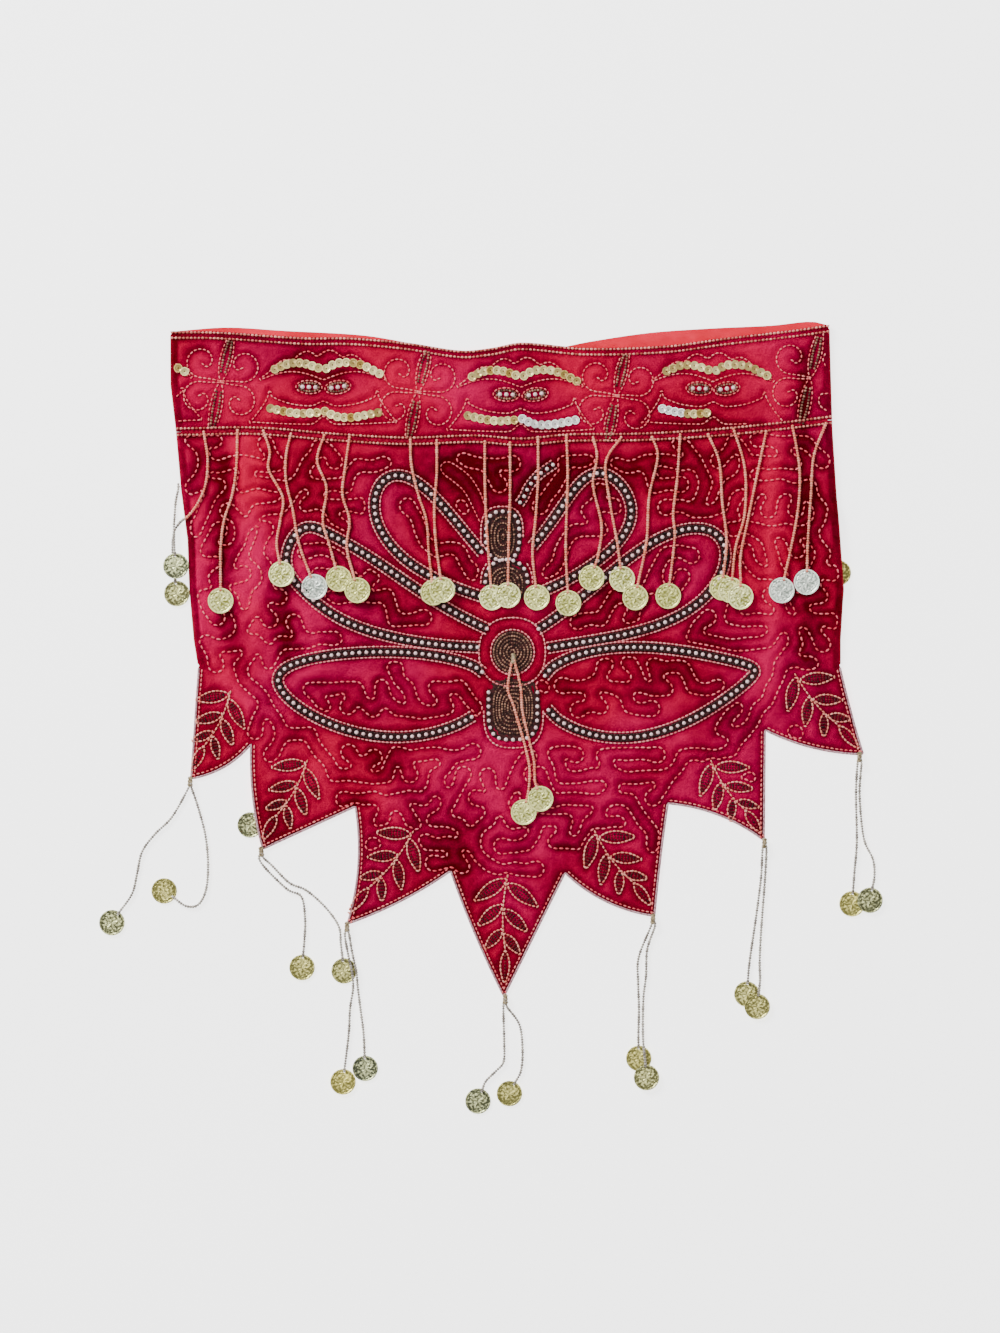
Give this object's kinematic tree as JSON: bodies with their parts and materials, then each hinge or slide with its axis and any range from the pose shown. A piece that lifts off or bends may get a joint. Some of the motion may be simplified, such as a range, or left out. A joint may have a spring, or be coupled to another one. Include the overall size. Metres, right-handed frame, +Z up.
{
  "type": "belly dance hip scarf",
  "caption": "Beaded crimson hip scarf with a stepped pointed hem, butterfly beadwork, a coin fringe and coin tassels, closed into a loop and laid flat.",
  "frame": {"origin": "middle of the laid garment with its tassels, on the surface it lies on", "axes": "+Z up from the surface, +Y towards the waistband, +X towards the right of the front as seen from above"},
  "size_m": [0.533, 0.5386, 0.0086],
  "materials": {
    "crimson_georgette": "crimson georgette over a coral red lining, beaded",
    "gold_beads": "pinkish gold glass and metal beads with pale gold stamped coins",
    "pearl_beads": "pearls between dark bronze beads"
  },
  "bodies": {
    "root": {"skirt": "crimson_georgette", "waistband": "crimson_georgette", "front_fringe": "gold_beads", "hem_tassel_1": "gold_beads", "hem_tassel_2": "gold_beads", "hem_tassel_3": "gold_beads", "hem_tassel_4": "gold_beads", "hem_tassel_5": "gold_beads", "hem_tassel_6": "gold_beads", "hem_tassel_7": "gold_beads", "centre_tassel": "gold_beads", "side_tassel_left": "gold_beads", "side_tassel_right": "gold_beads", "back_tassel": "gold_beads", "wing_lower_left": "pearl_beads", "wing_lower_right": "pearl_beads", "wing_outer_left": "pearl_beads", "wing_outer_right": "pearl_beads", "wing_inner_left": "pearl_beads", "wing_inner_right": "pearl_beads", "butterfly_head": "pearl_beads", "butterfly_thorax": "pearl_beads", "butterfly_abdomen": "pearl_beads"}
  },
  "joints": []
}
